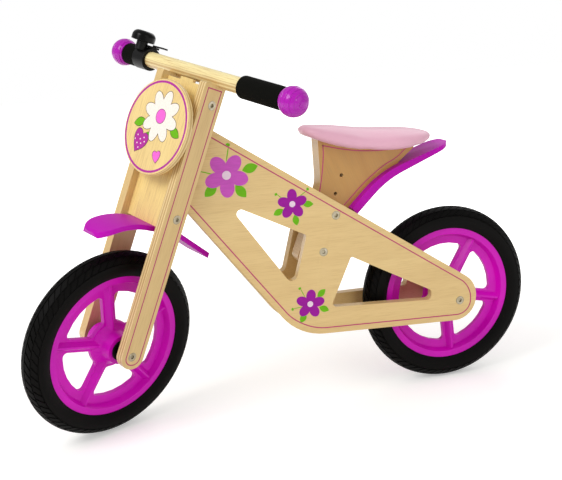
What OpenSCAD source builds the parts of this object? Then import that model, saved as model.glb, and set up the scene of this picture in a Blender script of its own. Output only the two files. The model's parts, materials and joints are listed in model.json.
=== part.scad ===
// Child's balance bike: plywood frame, steered plywood fork, two spoked wheels, padded saddle and bell.
// X points forward, Y to the rider's left, Z up. The tyres stand on Z = 0.

/* [Wheels] */
// Outer radius of both tyres
tyre_r = 150; // [140:1:155]
// Radius of the tyre's round section
tyre_section = 21.2; // [18:0.2:24]
// Depth from the tread to the edge of the rim
rim_drop = 35.5; // [34:0.5:38]
// Half width of the rim across its flanges
rim_half = 14.7; // [13:0.1:15]
// Thickness of each rim flange
flange_t = 3.7; // [3:0.1:4.5]
// How deep the tyre's foot sits inside the edge of the rim
seat_drop = 6.5; // [5.5:0.5:8.5]
// Width of the rim's flat outer ring
ring_w = 10.5; // [9:0.5:12.5]
// Distance from the ring to the five windows
window_margin = 17.5; // [14:0.5:22]
// Half thickness of the disc that the windows are cut in
web_half = 4; // [3:0.5:6]
// Half width of a spoke at the rim
spoke_half = 10.5; // [8:0.5:13]
// Radius of the window corners
window_corner = 7; // [4:0.5:9]
// Radius of the window's inner corner from the axle
window_in = 38; // [35:0.5:46]
// Radius of the hub barrel
hub_r = 23; // [20:0.5:26]
// Half length of the hub barrel
hub_half = 30; // [26:0.5:32]
// Width of the ridge along each spoke
rib_w = 3; // [2:0.5:5]
// Half width of the slopes that rise to the ridge
slope_half = 9; // [7:0.5:10]
// Half thickness of the wheel over the ridges
rib_half = 12.5; // [11:0.5:13.5]
// Direction of the first spoke of the rear wheel
rear_spoke_a = 48.6; // [0:0.2:72]
// Direction of the first spoke of the front wheel
front_spoke_a = -6; // [-36:1:36]
// Outer radius of the bearing bushes in the hub
bush_r = 13; // [11:0.5:15]
// Radius of the bush flange
bush_flange_r = 17; // [16:0.5:19]
// Thickness of the bush flange
bush_flange_t = 2.5; // [2:0.5:4]

/* [Axles and bolts] */
// Radius of both wheel axles
axle_r = 4; // [3.5:0.1:5]
// Radial running clearance of every turning fit
run_gap = 0.05; // [0.03:0.01:0.08]
// Gap left between flat faces that turn past each other
face_gap = 0.3; // [0.2:0.05:0.6]
// Radius of the axle and bolt heads
head_r = 7; // [6:0.5:8]
// Depth of the recess for a head
head_sink = 3; // [2:0.5:4]
// How far a head stands proud of its recess
head_proud = 0.6; // [0.2:0.1:1.5]
// Radius of the bolt shanks
bolt_r = 3; // [2.5:0.5:4]
// Radius of the wheel spacers
spacer_r = 9; // [7:0.5:11]

/* [Frame panels] */
// Thickness of the frame plywood
ply = 15; // [12:0.5:18]
// Distance between the axle centres, measured with the wheels straight
wheelbase = 579; // [560:1:620]
// Half of the clear width between the panels at the rear axle
rear_half_gap = 44; // [42:0.5:48]
// Angle at which each panel closes in towards the head
toe = 4.27; // [4:0.01:4.4]
// Rake of the steering axis from the vertical
rake = 21.5; // [20:0.5:23]
// Corner radius of the panel's lower bend
bend_r = 90; // [60:5:110]
// Corner radius of the panel's tail, upper
tail_r = 40; // [30:1:42]

/* [Head and fork] */
// How far the steering axis runs behind the axle line
trail_offset = 14; // [12:0.5:16]
// Angle the fork is turned to the rider's left at rest
steer_rest = 26.5; // [20:0.5:30]
// Radius of the steering bolt
rod_r = 5; // [4:0.5:6]
// Wall of the bushes in the head block
rod_bush_wall = 1.6; // [1.2:0.1:2]
// Radius of the head block's nose
nose_r = 10; // [9.5:0.1:10.4]
// Height of the head block's lower face along the fork
head_low = 236; // [234:1:240]
// Height of the head block's upper face along the fork
head_high = 376; // [370:1:380]
// How far the head block reaches behind the axle line
head_back = 80; // [60:1:90]
// Thickness of the fork legs
leg_t = 15; // [12:0.5:18]
// Half of the clear width between the fork legs
fork_half_gap = 44; // [42:0.5:48]
// Front face of the legs ahead of the axle line
leg_front = 18; // [16:0.5:22]
// Rear face of the legs behind the axle line
leg_rear = 22; // [20:0.5:24]
// Height of the leg tops along the fork
leg_top = 426; // [424:0.5:429]
// Thickness of the thrust washers
thrust_t = 2; // [1.5:0.5:3]
// Height of the upper block
upper_block_h = 34; // [24:1:34]
// Front face of the front board ahead of the axle line
board_front = 6; // [6:0.5:8]
// Thickness of the front board
board_t = 6; // [5:0.5:6]
// Height of the board's top edge along the fork
board_top = 419.5; // [414:0.5:420]
// Height of the top of its middle tab along the fork
tab_top = 424; // [422:0.5:426]
// Half width of the board's top tab
tab_half = 15; // [10:0.5:20]

/* [Handlebar] */
// Radius of the handlebar dowel
bar_r = 12.5; // [11:0.5:14]
// Height of the bar's centre along the fork
bar_s = 435; // [434:0.5:437]
// Half distance between the centres of the end balls
ball_y = 200; // [195:1:210]
// Radius of the end balls
ball_r = 21.8; // [20:0.1:24]
// Outer radius of the grips
grip_r = 17; // [16:0.5:18]
// How far the bar is set over to the rider's left
bar_shift = 6; // [0:0.5:6]
// Inner end of the left grip
grip_in = 97; // [90:1:105]
// Inner end of the bell's collar
collar_in = 127; // [120:1:130]
// Outer end of the bell's collar, where the right grip starts
collar_out = 156; // [154:1:160]
// Outer radius of the bell's collar
collar_r = 18; // [17:0.5:20]
// Radius of the bell's dome
dome_r = 19; // [18:0.5:20]
// Height of the bell's dome
dome_h = 16; // [14:0.5:20]
// Distance of the bell's centre from the middle of the bar
bell_y = 144; // [140:1:145]
// How far the bell stands ahead of the bar's centre
bell_e = 14; // [10:1:14]
// Height of the dome's rim above the bar's centre
dome_lift = 24; // [24:0.5:28]

/* [Plaque and mudguards] */
// Radius of the round front plaque
plaque_r = 72.8; // [65:0.2:75]
// Thickness of the plaque
plaque_t = 10; // [8:0.5:12]
// Height of the plaque's centre along the fork
plaque_s = 341; // [335:1:345]
// Front face of the plaque ahead of the axle line
plaque_front = 37.5; // [34:0.5:40]
// Radius of the round block behind the plaque
plaque_block_r = 32; // [25:1:40]
// Thickness of the bent front mudguard
guard_t = 8; // [6:0.5:9]
// Half width of the front mudguard
front_guard_half = 30; // [26:0.5:32]
// Height of the front mudguard's top along the fork
front_guard_s = 198; // [196:0.5:202]
// Front end of the front mudguard ahead of the axle line
front_guard_tip = 100; // [90:1:110]
// Rear end of the front mudguard behind the axle line
front_guard_tail = 122; // [100:1:130]
// Half width of the rear mudguard
rear_guard_half = 29; // [26:0.5:29.5]
// Thickness of the rear mudguard along the post
rear_guard_t = 14; // [12:0.5:15]
// Thickness of the rear mudguard's rear end
rear_guard_tip_t = 6.5; // [6:0.5:9]

/* [Seat] */
// Thickness of the seat post across the bike
post_t = 30; // [26:0.5:32]
// Width of the post's straight lower part
tongue_w = 58; // [50:0.5:62]
// Spacing of the holes along the post
hole_pitch = 31; // [29:0.5:33]
// Number of height holes in the post
hole_count = 5; // [3:1:5]
// Thickness of the board under the saddle
seat_board_t = 6; // [5:0.5:7]
// How far the board's edge lies inside the pad's rim
board_inset = 14; // [10:1:20]
// Length of the saddle
seat_len = 216; // [200:1:230]
// Half width of the saddle at its middle
seat_mid_half = 56.5; // [50:0.5:60]
// How much the half width grows to the rear and shrinks to the nose
seat_taper = 9.5; // [5:0.5:14]
// Height of the saddle's underside at its middle
seat_low = 417; // [412:0.5:420]
// How much higher the underside is at the rear end
seat_rear_rise = 8.8; // [5:0.1:14]
// How much higher the underside is at the nose
seat_nose_rise = 28.7; // [20:0.1:34]
// Thickness of the saddle at its middle
pad_t = 24.4; // [20:0.1:27]
// Thickness of the saddle at its rear end
pad_rear_t = 13.1; // [12:0.1:16]
// Thickness of the saddle at its nose
pad_nose_t = 16.8; // [13:0.1:20]

/* [Hidden] */
$fn = 96;
tau_steps = 8;

// Where the rear axle lies, so that the origin is under the middle of the bike
turned_reach = tyre_r * sqrt(1 - pow(sin(steer_rest) * cos(rake), 2));
front_reach = wheelbase - trail_offset * (1 - cos(steer_rest)) * cos(rake) + turned_reach + 2;
rear_x = (tyre_r - front_reach) / 2;

rim_r = tyre_r - rim_drop;
tyre_seat_r = rim_r - seat_drop;
ring_r = rim_r - ring_w;
window_r = ring_r - window_margin;

leg_mid_y = fork_half_gap + leg_t / 2;
lower_block_s = front_guard_s;
lower_block_h = head_low - face_gap - thrust_t - lower_block_s;
upper_block_s = head_high + face_gap + thrust_t;
block_front = board_front - board_t;
panel_outer = rear_half_gap + ply / cos(toe);
post_lean = 21.3;
post_foot = [232.9, 259];
post_up = [-sin(post_lean), cos(post_lean)];
post_out = [cos(post_lean), sin(post_lean)];
seat_mid_x = 141;
guard_knee = [122.2, 373.5];
guard_knee_r = 172;
guard_front_a = 43.2;
guard_tail_a = 18.1;
guard_front_len = 75.5;
guard_tail_len = 131;
rear_guard_corner = 25;
front_bend_r = 80;
front_bend_a = 18;
front_nose_r = 128;
front_flat = 20;
post_bolt_at = [0, 2];
leg_bolt_s = [395.5, 219];
leg_bolt_e = -5;

// Unit vector along v
function unit(v) = v / norm(v);
// v turned by the angle a
function turned(v, a) = [v[0] * cos(a) - v[1] * sin(a), v[0] * sin(a) + v[1] * cos(a)];
// Points of a corner at p1 between p0 and p2, rounded with radius r
function corner(p0, p1, p2, r) =
  let (a = unit(p0 - p1), b = unit(p2 - p1), half = acos(a * b) / 2,
       centre = p1 + unit(a + b) * r / sin(half), start = p1 + a * r / tan(half) - centre,
       sweep = -sign(cross(a, b)) * (180 - 2 * half))
  r == 0 ? [p1] : [for (i = [0 : tau_steps]) centre + turned(start, sweep * i / tau_steps)];
// An outline from corners given as [x, y, radius]
function rounded(c) =
  [for (i = [0 : len(c) - 1])
    let (p = c[(i + len(c) - 1) % len(c)], q = c[i], n = c[(i + 1) % len(c)])
    each corner([p[0], p[1]], [q[0], q[1]], [n[0], n[1]], q[2])];
// Points of an arc about c
function arc(c, r, a0, a1, n) = [for (i = [0 : n]) c + r * [cos(a0 + (a1 - a0) * i / n), sin(a0 + (a1 - a0) * i / n)]];
// Half of the clear width between the panels at the distance x ahead of the rear axle
function inner_at(x) = rear_half_gap - tan(toe) * x;
// A point of the fork, s up the leg and e ahead of the axle line, in the frame's side view
function fork_point(s, e) = [wheelbase - s * sin(rake) + e * cos(rake), tyre_r + s * cos(rake) + e * sin(rake)];

panel_top = [[-29, 179.3], [wheelbase - 156, 481.7]];
panel_outline = rounded([
  [panel_top[0][0], panel_top[0][1], tail_r],
  [-29, 114.8, 38],
  [280, 123.7, bend_r],
  [wheelbase - 113, 371.4, 8],
  [panel_top[1][0], panel_top[1][1], 8]
]);
front_cutout = rounded([[wheelbase - 194, 352.6, 7], [260.5, 289.6, 4], [283.7, 204.8, 9.3]]);
rear_cutout = rounded([[188.1, 246.7, 3], [51, 173.8, 6], [51, 157.6, 7], [225, 165.6, 7]]);

// Places the children at the rear axle
module at_rear() {
  translate([rear_x, 0, tyre_r]) children();
}
// Places the children in the frame's own coordinates, measured from below the rear axle
module at_frame() {
  translate([rear_x, 0, 0]) children();
}
// Places the children in the fork's coordinates: x is e, z is s, the origin is the front axle
module at_fork() {
  translate([rear_x + wheelbase, 0, tyre_r])
    rotate([0, -rake, 0])
      translate([-trail_offset, 0, 0])
        rotate([0, 0, steer_rest])
          translate([trail_offset, 0, 0])
            children();
}
// Extrudes a side view drawn in X and Z by the thickness t, centred on Y = 0
module side_slab(t) {
  rotate([90, 0, 0])
    linear_extrude(t, center = true)
      children();
}
// A cylinder along Y from y0 to y1
module y_rod(r, y0, y1) {
  translate([0, y1, 0])
    rotate([90, 0, 0])
      cylinder(r = r, h = y1 - y0);
}
// Both sides of the bike, the children drawn on the rider's left
module both_sides() {
  children();
  mirror([0, 1, 0]) children();
}

// The wheel's parts, each centred on its axle along Y
module rim(a) {
  difference() {
    union() {
      rotate([90, 0, 0])
        rotate_extrude()
          polygon([[ring_r, -rim_half], [rim_r, -rim_half], [rim_r, flange_t - rim_half],
            [tyre_seat_r, flange_t - rim_half], [tyre_seat_r, rim_half - flange_t],
            [rim_r, rim_half - flange_t], [rim_r, rim_half], [ring_r, rim_half],
            [ring_r - 5, web_half - 2], [ring_r - 5, 2 - web_half]]);
      side_slab(2 * web_half)
        difference() {
          circle(r = ring_r - 3);
          for (i = [0 : 4]) rotate(a + 36 + 72 * i) wheel_window();
        }
      rotate([90, 0, 0])
        rotate_extrude()
          polygon([[0, -hub_half], [hub_r, -hub_half], [hub_r + 3, -14], [hub_r + 13.5, 2 - web_half],
            [hub_r + 13.5, web_half - 2], [hub_r + 3, 14], [hub_r, hub_half], [0, hub_half]]);
      for (i = [0 : 4])
        rotate([0, -a - 72 * i, 0])
          translate([hub_r - 2, 0, 0])
            rotate([90, 0, 90])
              linear_extrude(ring_r - hub_r)
                polygon([[-1, -slope_half], [-rib_half, -rib_w / 2], [-rib_half, rib_w / 2],
                  [-1, slope_half], [1, slope_half], [rib_half, rib_w / 2],
                  [rib_half, -rib_w / 2], [1, -slope_half]]);
    }
    y_rod(bush_r, -hub_half - 1, hub_half + 1);
  }
}
module wheel_window() {
  // Where the edges of two neighbouring spokes would meet
  tip = spoke_half / sin(36);
  offset(r = window_corner, $fn = 32)
    offset(delta = -window_corner)
      difference() {
        intersection() {
          circle(r = window_r);
          polygon([[tip, 0], tip * [1, 0] + 120 * [cos(36), -sin(36)], tip * [1, 0] + 120 * [cos(36), sin(36)]]);
        }
        circle(r = window_in);
      }
}
module tyre() {
  rotate([90, 0, 0])
    rotate_extrude()
      difference() {
        translate([tyre_r - tyre_section, 0]) circle(r = tyre_section);
        translate([0, -tyre_section - 1]) square([tyre_seat_r, 2 * tyre_section + 2]);
        for (m = [0, 1])
          mirror([0, m])
            translate([0, rim_half - flange_t]) square([rim_r, tyre_section]);
      }
}
module hub_bushes() {
  both_sides()
    difference() {
      union() {
        y_rod(bush_r, hub_half - 18, hub_half);
        y_rod(bush_flange_r, hub_half, hub_half + bush_flange_t);
      }
      y_rod(axle_r + run_gap, 0, hub_half + bush_flange_t + 1);
    }
}
module wheel_spacers(half) {
  both_sides()
    difference() {
      y_rod(spacer_r, hub_half + bush_flange_t + face_gap, half);
      y_rod(axle_r, 0, half + 1);
    }
}
// A bolt head with a hexagon socket, its underside at y = 0, facing +Y
module head(r, t) {
  difference() {
    y_rod(r, 0, t);
    translate([0, t + 1, 0])
      rotate([90, 0, 0])
        cylinder(r = r * 0.45, h = t * 0.7 + 1, $fn = 6);
  }
}
module axle(half) {
  y_rod(axle_r, -half + head_sink, half - head_sink);
  translate([0, half - head_sink, 0]) head(head_r, head_sink + head_proud);
}
module axle_nut(half) {
  mirror([0, 1, 0])
    translate([0, half - head_sink, 0]) head(head_r, head_sink + head_proud);
}
// The recess that a head sits in, on the face at y = half
module head_recess(half) {
  y_rod(head_r, half - head_sink, half + 10);
}

// A frame panel with its cut-outs, on the rider's left
module panel() {
  color("burlywood")
    at_frame()
      difference() {
        translate([0, panel_outer, 0])
          rotate([0, 0, -toe])
            rotate([90, 0, 0])
              linear_extrude(ply)
                difference() {
                  polygon(panel_outline);
                  polygon(front_cutout);
                  polygon(rear_cutout);
                }
        translate([0, 0, tyre_r]) {
          y_rod(axle_r, 0, panel_outer + 10);
          head_recess(panel_outer);
        }
        for (i = post_bolt_at)
          translate([post_hole(i)[0], 0, post_hole(i)[1]]) {
            y_rod(bolt_r, 0, panel_outer + 10);
            head_recess(panel_side(post_hole(i)[0]));
          }
        for (p = head_screw_at)
          translate([p[0], 0, p[1]])
            head_screw_space(p[0]);
      }
}
// Outer face of the panel at the distance x ahead of the rear axle
function panel_side(x) = panel_outer - tan(toe) * x;
// Hole i of the seat post, counted upward from the lower bolt
function post_hole(i) = post_foot + post_up * hole_pitch * i;

head_screw_at = [fork_point(345, -44), fork_point(275, -44)];
screw_r = 2.2;
screw_head_r = 4.5;
screw_sink = 2.5;
// Where the underside of a head screw's head lies, so that its top is flush with the panel at x
function head_screw_seat(x) = panel_side(x) - screw_sink;
module head_screw_space(x) {
  y_rod(screw_r, 2, panel_outer);
  y_rod(screw_head_r, head_screw_seat(x), panel_outer);
}
module left_panel() {
  panel();
}
module right_panel() {
  mirror([0, 1, 0]) panel();
}

// The block that carries the steering bushes and holds the panels apart at the head
module head_block() {
  color("burlywood")
    difference() {
      at_frame() {
        intersection() {
          linear_extrude(600)
            polygon([[300, -inner_at(300)], [520, -inner_at(520)], [520, inner_at(520)], [300, inner_at(300)]]);
          side_slab(100)
            polygon([fork_point(head_low + 18, -head_back), fork_point(head_low + 18, -trail_offset),
              fork_point(head_high - 18, -trail_offset), fork_point(head_high - 30, -head_back)]);
        }
        translate([wheelbase, 0, tyre_r])
          rotate([0, -rake, 0])
            translate([-trail_offset, 0, head_low])
              cylinder(r = nose_r, h = head_high - head_low);
      }
      at_frame()
        translate([wheelbase, 0, tyre_r])
          rotate([0, -rake, 0])
            translate([-trail_offset, 0, head_low - 1])
              cylinder(r = rod_r + rod_bush_wall, h = head_high - head_low + 2);
      at_frame()
        for (p = head_screw_at)
          translate([p[0], 0, p[1]])
            both_sides() y_rod(screw_r, 2, 100);
    }
}
head_bush_len = 40;
module head_bushes() {
  color("gold")
    at_frame()
      translate([wheelbase, 0, tyre_r])
        rotate([0, -rake, 0])
          for (s = [head_low, head_high - head_bush_len])
            translate([-trail_offset, 0, s])
              difference() {
                cylinder(r = rod_r + rod_bush_wall, h = head_bush_len);
                translate([0, 0, -1]) cylinder(r = rod_r + run_gap, h = head_bush_len + 2);
              }
}
module head_screws() {
  color("silver")
    at_frame()
      for (p = head_screw_at)
        translate([p[0], 0, p[1]])
          both_sides() {
            y_rod(screw_r, 2, head_screw_seat(p[0]));
            translate([0, head_screw_seat(p[0]), 0]) head(screw_head_r, screw_sink);
          }
}

// The seat post: a straight drilled tongue under a wide head that carries the seat board
function on_tongue(d, w) = post_foot + post_up * d + post_out * w;
// A height above the saddle's middle from its values at the rear end, the middle and the nose
function along_seat(x, v) =
  let (d = (x - seat_mid_x) * 2 / seat_len)
  v[1] + (v[2] - v[0]) / 2 * d + ((v[0] + v[2]) / 2 - v[1]) * d * d;
function seat_low_z(x) = along_seat(x, [seat_low + seat_rear_rise, seat_low, seat_low + seat_nose_rise]);
function seat_curve(lift) =
  [for (i = [0 : 30]) let (x = seat_mid_x + (i / 15 - 1) * (seat_len / 2 + 6)) [x, seat_low_z(x) + lift]];
module post_side() {
  difference() {
    polygon(rounded([
      concat(on_tongue(-31, tongue_w / 2), 12),
      concat(on_tongue(100, tongue_w / 2), 60),
      [227, 470, 0],
      [60, 470, 0],
      [60, 408, 3],
      [88, 386, 0],
      [88, 330, 0],
      concat(on_tongue(45, -tongue_w / 2), 0),
      concat(on_tongue(-31, -tongue_w / 2), 12)
    ]));
    polygon(concat(guard_top(), [on_tongue(20, -tongue_w / 2), [-60, 200]]));
    polygon(concat(seat_curve(0), [[seat_mid_x + seat_len, 600], [seat_mid_x - seat_len, 600]]));
  }
}
// The rear mudguard's top face in the side view, from its rear end to its front end
guard_front_n = [sin(guard_front_a), cos(guard_front_a)];
guard_tail_n = [sin(guard_tail_a), cos(guard_tail_a)];
guard_tip = guard_knee + guard_tail_len * [-cos(guard_tail_a), sin(guard_tail_a)];
guard_front = guard_knee + guard_front_len * [cos(guard_front_a), -sin(guard_front_a)];
guard_miter = (guard_front_n + guard_tail_n) / (1 + guard_front_n * guard_tail_n);
function guard_top() = concat([guard_tip], corner(guard_tip, guard_knee, guard_front, guard_knee_r), [guard_front]);
module seat_post() {
  color("burlywood")
    at_frame()
      difference() {
        side_slab(post_t) post_side();
        for (i = [0 : hole_count - 1])
          translate([post_hole(i)[0], 0, post_hole(i)[1]])
            y_rod(bolt_r, -post_t, post_t);
        seat_screw_spaces();
        for (a = rear_guard_screw_at) rear_guard_screw(a) cylinder(r = screw_r, h = 60, center = true);
      }
}
// Tapered packing on each side of the post at its two bolts
module post_spacers() {
  color("burlywood")
    at_frame()
      both_sides()
        difference() {
          intersection() {
            linear_extrude(600)
              polygon([[150, post_t / 2], [300, post_t / 2], [300, inner_at(300)], [150, inner_at(150)]]);
            translate([0, 50, 0])
              side_slab(100)
                polygon(rounded([
                  concat(on_tongue(-20, 20), 6), concat(on_tongue(80, 20), 6),
                  concat(on_tongue(80, -20), 6), concat(on_tongue(-20, -20), 6)
                ]));
          }
          for (i = post_bolt_at)
            translate([post_hole(i)[0], 0, post_hole(i)[1]])
              y_rod(bolt_r, 0, 60);
        }
}
module post_bolts() {
  color("silver")
    at_frame()
      for (i = post_bolt_at)
        translate([post_hole(i)[0], 0, post_hole(i)[1]]) {
          half = panel_side(post_hole(i)[0]) - head_sink;
          y_rod(bolt_r, -half, half);
          both_sides() translate([0, half, 0]) head(head_r, head_sink);
        }
}

// Plan outline of the saddle, drawn in X and Y, pulled in by the margin m
function saddle_point(t, m) =
  [seat_mid_x + (seat_len / 2 - m) * cos(t),
   (seat_mid_half - m - seat_taper * cos(t)) * pow(abs(sin(t)), 0.7) * sign(sin(t))];
module saddle_plan(m) {
  polygon([for (i = [0 : 47]) saddle_point(i * 7.5, m)]);
}
module saddle_layer(low, high, m) {
  intersection() {
    translate([0, 0, 350]) linear_extrude(200) saddle_plan(m);
    side_slab(140)
      polygon(concat(seat_curve(low), [for (i = [30 : -1 : 0]) seat_curve(high)[i]]));
  }
}
// Rings of the pad from its underside over the rim to its top: the inset and the share of the height
saddle_rings = [
  [board_inset - 1, 0], [5, 0], [1.5, 0.12], [0, 0.32], [0.8, 0.52], [3.5, 0.72], [8, 0.86], [15, 0.95],
  [24, 0.99], [36, 1]
];
function saddle_vertex(p, share) =
  [p[0], p[1], seat_low_z(p[0]) + share * along_seat(p[0], [pad_rear_t, pad_t, pad_nose_t])];
module saddle_body() {
  n = 48;
  k = len(saddle_rings);
  polyhedron(
    points = concat(
      [for (r = saddle_rings) for (i = [0 : n - 1]) saddle_vertex(saddle_point(i * 360 / n, r[0]), r[1])],
      [saddle_vertex([seat_mid_x, 0], 0), saddle_vertex([seat_mid_x, 0], 1)]
    ),
    faces = concat(
      [for (j = [0 : k - 2]) for (i = [0 : n - 1]) each
        let (a = j * n + i, b = j * n + (i + 1) % n)
        [[a, a + n, b + n], [a, b + n, b]]],
      [for (i = [0 : n - 1]) [k * n, i, (i + 1) % n]],
      [for (i = [0 : n - 1]) [k * n + 1, (k - 1) * n + (i + 1) % n, (k - 1) * n + i]]
    )
  );
}
module seat_board() {
  color("burlywood")
    at_frame()
      difference() {
        saddle_layer(0, seat_board_t, board_inset);
        seat_screw_spaces();
      }
}
seat_screw_x = [105, 185];
module seat_screw_spaces() {
  for (x = seat_screw_x)
    translate([x, 0, seat_low_z(x)]) {
      translate([0, 0, -30]) cylinder(r = screw_r, h = 45);
      translate([0, 0, seat_board_t - screw_sink - 0.5]) cylinder(r = screw_head_r, h = 20);
    }
}
module seat_screws() {
  color("silver")
    at_frame()
      for (x = seat_screw_x)
        translate([x, 0, seat_low_z(x)]) {
          translate([0, 0, -28]) cylinder(r = screw_r, h = 28 + seat_board_t - screw_sink - 0.5);
          translate([0, 0, seat_board_t - screw_sink - 0.5]) cylinder(r = screw_head_r, h = screw_sink - 0.5);
        }
}
module seat_pad() {
  color("pink")
    at_frame()
      difference() {
        saddle_body();
        saddle_layer(-5, seat_board_t, board_inset);
      }
}

// Shaped wooden mudguard that follows the rear edge of the seat post
module rear_mudguard() {
  color("mediumvioletred")
    at_frame()
      difference() {
        intersection() {
          side_slab(2 * rear_guard_half)
            polygon(rounded([
              [guard_tip[0], guard_tip[1], 2],
              [guard_knee[0], guard_knee[1], guard_knee_r],
              [guard_front[0], guard_front[1], 0],
              concat(guard_front - rear_guard_t * guard_front_n, 0),
              concat(guard_knee - rear_guard_t * guard_miter, guard_knee_r - rear_guard_t),
              concat(guard_tip - rear_guard_tip_t * guard_tail_n, 2)
            ]));
          translate([0, 0, 250])
            linear_extrude(200)
              polygon(rounded([
                [guard_tip[0], -rear_guard_half, rear_guard_corner],
                [guard_front[0], -rear_guard_half, 4],
                [guard_front[0], rear_guard_half, 4],
                [guard_tip[0], rear_guard_half, rear_guard_corner]
              ]));
        }
        for (a = rear_guard_screw_at)
          rear_guard_screw(a) {
            cylinder(r = screw_r, h = 60, center = true);
            translate([0, 0, -rear_guard_t - 10]) cylinder(r = screw_head_r, h = 10 + screw_sink);
          }
      }
}
// Places of the two screws along the front part of the mudguard, measured from its knee
rear_guard_screw_at = [40, 62];
module rear_guard_screw(a) {
  translate([guard_knee[0] + a * cos(guard_front_a), 0, guard_knee[1] - a * sin(guard_front_a)])
    rotate([0, guard_front_a, 0])
      children();
}
module rear_mudguard_screws() {
  color("silver")
    at_frame()
      for (a = rear_guard_screw_at)
        rear_guard_screw(a) {
          translate([0, 0, screw_sink - rear_guard_t]) cylinder(r = screw_r, h = rear_guard_t + 16);
          translate([0, 0, 0.5 - rear_guard_t]) cylinder(r = screw_head_r, h = screw_sink - 0.5);
        }
}

module rear_axle() {
  color("silver") at_rear() axle(panel_outer);
}
module rear_axle_nut() {
  color("silver") at_rear() axle_nut(panel_outer);
}
module rear_spacers() {
  color("dimgray") at_rear() wheel_spacers(rear_half_gap - 1.2);
}
module rear_rim() {
  color("mediumvioletred") at_rear() rim(rear_spoke_a);
}
module rear_tyre() {
  color("black") at_rear() tyre();
}
module rear_bushes() {
  color("black") at_rear() hub_bushes();
}

// The fork's parts
fork_outer = fork_half_gap + leg_t;
module leg() {
  difference() {
    translate([0, leg_mid_y, 0])
      rotate([90, 0, 0])
        linear_extrude(leg_t, center = true)
          polygon(rounded([[-leg_rear, -20, 19], [leg_front, -20, 19], [leg_front, leg_top, 3], [-leg_rear, leg_top, 3]]));
    y_rod(axle_r, 0, 100);
    head_recess(fork_outer);
    for (s = leg_bolt_s)
      translate([leg_bolt_e, 0, s]) {
        y_rod(bolt_r, 0, 100);
        head_recess(fork_outer);
      }
    translate([-trail_offset, 0, bar_s]) y_rod(bar_r, 0, 100);
    translate([-trail_offset, leg_mid_y, bar_s - bar_screw_deep]) cylinder(r = screw_r, h = 80);
  }
}
module left_leg() {
  color("burlywood") at_fork() leg();
}
module right_leg() {
  color("burlywood") at_fork() mirror([0, 1, 0]) leg();
}
module front_board() {
  color("burlywood")
    at_fork()
      difference() {
        translate([board_front - board_t, 0, 0])
          rotate([90, 0, 90])
            linear_extrude(board_t)
              polygon([[-fork_half_gap, front_guard_s], [fork_half_gap, front_guard_s], [fork_half_gap, board_top],
                [tab_half, board_top], [tab_half, tab_top], [-tab_half, tab_top], [-tab_half, board_top],
                [-fork_half_gap, board_top]]);
        board_screw_spaces();
      }
}
board_screw_at = [[13, board_top - 26], [-13, board_top - 26]];
module board_screw_spaces() {
  for (p = board_screw_at)
    translate([0, p[0], p[1]])
      rotate([0, 90, 0]) {
        translate([0, 0, -18]) cylinder(r = screw_r, h = 40);
        translate([0, 0, board_front - screw_sink]) cylinder(r = screw_head_r, h = 10);
      }
}
module board_screws() {
  color("silver")
    at_fork()
      for (p = board_screw_at)
        translate([0, p[0], p[1]])
          rotate([0, 90, 0]) {
            translate([0, 0, -18]) cylinder(r = screw_r, h = 18 + board_front - screw_sink);
            translate([0, 0, board_front - screw_sink]) cylinder(r = screw_head_r, h = screw_sink - 0.3);
          }
}
module cross_block(s, h) {
  difference() {
    translate([-leg_rear, -fork_half_gap, s]) cube([leg_rear + block_front, 2 * fork_half_gap, h]);
    translate([-trail_offset, 0, s - 1]) cylinder(r = rod_r, h = h + 2);
    board_screw_spaces();
    for (b = leg_bolt_s)
      translate([leg_bolt_e, 0, b])
        both_sides() y_rod(bolt_r, fork_half_gap - 25, 100);
  }
}
module upper_block() {
  color("burlywood") at_fork() cross_block(upper_block_s, upper_block_h);
}
module lower_block() {
  color("burlywood") at_fork() cross_block(lower_block_s, lower_block_h);
}
module thrust_washers() {
  color("white")
    at_fork()
      for (s = [lower_block_s + lower_block_h, upper_block_s - thrust_t])
        translate([-trail_offset, 0, s])
          difference() {
            cylinder(r = nose_r - 1, h = thrust_t);
            translate([0, 0, -1]) cylinder(r = rod_r, h = thrust_t + 2);
          }
}
bolt_head_t = 6.4;
nut_t = 6;
nut_pocket_r = 10;
nut_s = front_guard_s - nut_t - 2.5;
module steering_bolt() {
  color("silver")
    at_fork()
      translate([-trail_offset, 0, 0]) {
        translate([0, 0, nut_s - 0.5]) cylinder(r = rod_r, h = upper_block_s + upper_block_h - nut_s + 0.5);
        translate([0, 0, upper_block_s + upper_block_h]) cylinder(r = 9.2, h = bolt_head_t, $fn = 6);
      }
}
module steering_nut() {
  color("silver")
    at_fork()
      translate([-trail_offset, 0, nut_s])
        difference() {
          cylinder(r = 9.2, h = nut_t, $fn = 6);
          translate([0, 0, -1]) cylinder(r = rod_r, h = nut_t + 2);
        }
}
module leg_bolts() {
  color("silver")
    at_fork()
      for (s = leg_bolt_s)
        translate([leg_bolt_e, 0, s])
          both_sides() {
            y_rod(bolt_r, fork_half_gap - 25, fork_outer - head_sink);
            translate([0, fork_outer - head_sink, 0]) head(head_r, head_sink + head_proud);
          }
}
module plaque_block() {
  color("burlywood")
    at_fork()
      translate([board_front, 0, plaque_s])
        rotate([0, 90, 0])
          cylinder(r = plaque_block_r, h = plaque_front - plaque_t - board_front);
}
module plaque() {
  color("ivory")
    at_fork()
      translate([plaque_front - plaque_t, 0, plaque_s])
        rotate([0, 90, 0])
          cylinder(r = plaque_r, h = plaque_t);
}
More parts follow.
